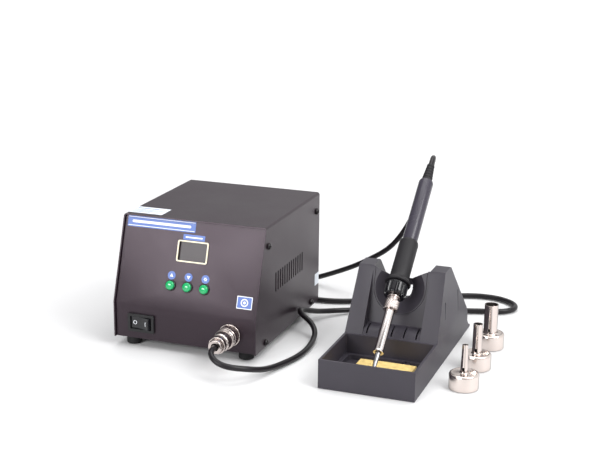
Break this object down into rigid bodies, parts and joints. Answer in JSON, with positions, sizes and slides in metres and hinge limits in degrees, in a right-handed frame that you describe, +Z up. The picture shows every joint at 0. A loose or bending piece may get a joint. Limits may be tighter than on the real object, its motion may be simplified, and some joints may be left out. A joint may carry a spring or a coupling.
{
  "type": "soldering and hot air bench station",
  "caption": "Bench soldering set: sheet-metal control unit with sloped panel, cabled iron resting in a moulded stand with sponge tray, and loose hot air nozzles.",
  "frame": {"origin": "middle of the set's footprint on the bench, without the iron's cord", "axes": "+X to the right along the set's longest side, +Y to the back, +Z up; the control unit's front faces -Y"},
  "size_m": [0.3152, 0.2873, 0.152],
  "materials": {
    "powder_coat": "fine-textured black powder coat, half matt",
    "black_plastic": "black moulded plastic",
    "gloss_black": "polished black plastic",
    "screw_steel": "black oxide pan head",
    "foot_rubber": "black rubber",
    "cream_frame": "cream display frame",
    "dark_window": "smoked clear window, unlit",
    "green_button": "glossy green domed cap",
    "nickel": "bright nickel plate, slightly warm",
    "barrel_steel": "polished stainless tube",
    "tip_metal": "satin plated tip",
    "board": "green circuit board",
    "core_steel": "laminated transformer core",
    "coil_tape": "yellow insulating tape",
    "stand_plastic": "dark grey moulded plastic, half matt",
    "sponge": "yellow cellulose sponge",
    "grip_rubber": "matt black soft grip",
    "handle_plastic": "half-gloss black tube",
    "cord_rubber": "black silicone-rubber cord sheath"
  },
  "bodies": {
    "station": {"base_chassis": "powder_coat", "button_bush_1": "black_plastic", "button_bush_2": "black_plastic", "button_bush_3": "black_plastic", "clamp_ring": "nickel", "control_board": "board", "cover_screw_1": "screw_steel", "cover_screw_2": "screw_steel", "cover_screw_3": "screw_steel", "cover_screw_4": "screw_steel", "cover_screw_5": "screw_steel", "cover_screw_6": "screw_steel", "cover_screw_7": "screw_steel", "cover_screw_8": "screw_steel", "display_bezel": "cream_frame", "display_module": "black_plastic", "display_window": "dark_window", "foot_1": "foot_rubber", "foot_2": "foot_rubber", "foot_3": "foot_rubber", "foot_4": "foot_rubber", "holder_cradle": "stand_plastic", "iron_cord": "cord_rubber", "panel_socket": "nickel", "plug_shell": "nickel", "power_inlet": "black_plastic", "sponge": "sponge", "stand_base": "stand_plastic", "switch_housing": "black_plastic", "top_cover": "powder_coat", "transformer_coil": "coil_tape", "transformer_core": "core_steel"},
    "button_1": {"button_1": "green_button"},
    "button_2": {"button_2": "green_button"},
    "button_3": {"button_3": "green_button"},
    "rocker": {"switch_rocker": "gloss_black"},
    "coupling": {"coupling_nut": "nickel"},
    "fuse_drawer": {"fuse_drawer": "black_plastic"},
    "iron": {"iron_tip": "tip_metal", "iron_barrel": "barrel_steel", "iron_core": "black_plastic", "iron_grip": "grip_rubber", "iron_handle": "handle_plastic", "strain_relief": "grip_rubber"},
    "barrel_nut": {"barrel_nut": "nickel"},
    "collar_nut": {"collar_nut": "gloss_black"},
    "nozzle_small": {"nozzle_small": "nickel"},
    "nozzle_medium": {"nozzle_medium": "nickel"},
    "nozzle_large": {"nozzle_large": "nickel"}
  },
  "joints": [
    {"name": "button_1_press", "type": "slide", "parent": "station", "child": "button_1", "axis": [0, 0.95, -0.3122], "range_m": [0, 0.0012], "stiffness_N_per_m": 400, "springref_m": -0.0008},
    {"name": "button_2_press", "type": "slide", "parent": "station", "child": "button_2", "axis": [0, 0.95, -0.3122], "range_m": [0, 0.0012], "stiffness_N_per_m": 400, "springref_m": -0.0008},
    {"name": "button_3_press", "type": "slide", "parent": "station", "child": "button_3", "axis": [0, 0.95, -0.3122], "range_m": [0, 0.0012], "stiffness_N_per_m": 400, "springref_m": -0.0008},
    {"name": "rocker_tilt", "type": "hinge", "parent": "station", "child": "rocker", "pos_m": [-0.1301, -0.0627, 0.022], "axis": [0, 0, 1], "range_deg": [0, 24]},
    {"name": "coupling_turn", "type": "hinge", "parent": "station", "child": "coupling", "pos_m": [-0.049, -0.0632, 0.0223], "axis": [0, -1, 0], "continuous": true},
    {"name": "fuse_drawer_slide", "type": "slide", "parent": "station", "child": "fuse_drawer", "axis": [0, 1, 0], "range_m": [0, 0.012]},
    {"name": "iron_lift", "type": "slide", "parent": "station", "child": "iron", "axis": [0, 0, 1], "range_m": [0, 0.06], "deforming": ["iron_cord"]},
    {"name": "barrel_nut_turn", "type": "hinge", "parent": "iron", "child": "barrel_nut", "pos_m": [0.0781, -0.0707, 0.0161], "axis": [0, 0.7716, 0.6361], "continuous": true},
    {"name": "collar_nut_turn", "type": "hinge", "parent": "iron", "child": "collar_nut", "pos_m": [0.0781, -0.0707, 0.0161], "axis": [0, 0.7716, 0.6361], "continuous": true},
    {"name": "nozzle_small_lift", "type": "slide", "parent": "station", "child": "nozzle_small", "axis": [0, 0, 1], "range_m": [0, 0.04]},
    {"name": "nozzle_medium_lift", "type": "slide", "parent": "station", "child": "nozzle_medium", "axis": [0, 0, 1], "range_m": [0, 0.04]},
    {"name": "nozzle_large_lift", "type": "slide", "parent": "station", "child": "nozzle_large", "axis": [0, 0, 1], "range_m": [0, 0.04]}
  ]
}
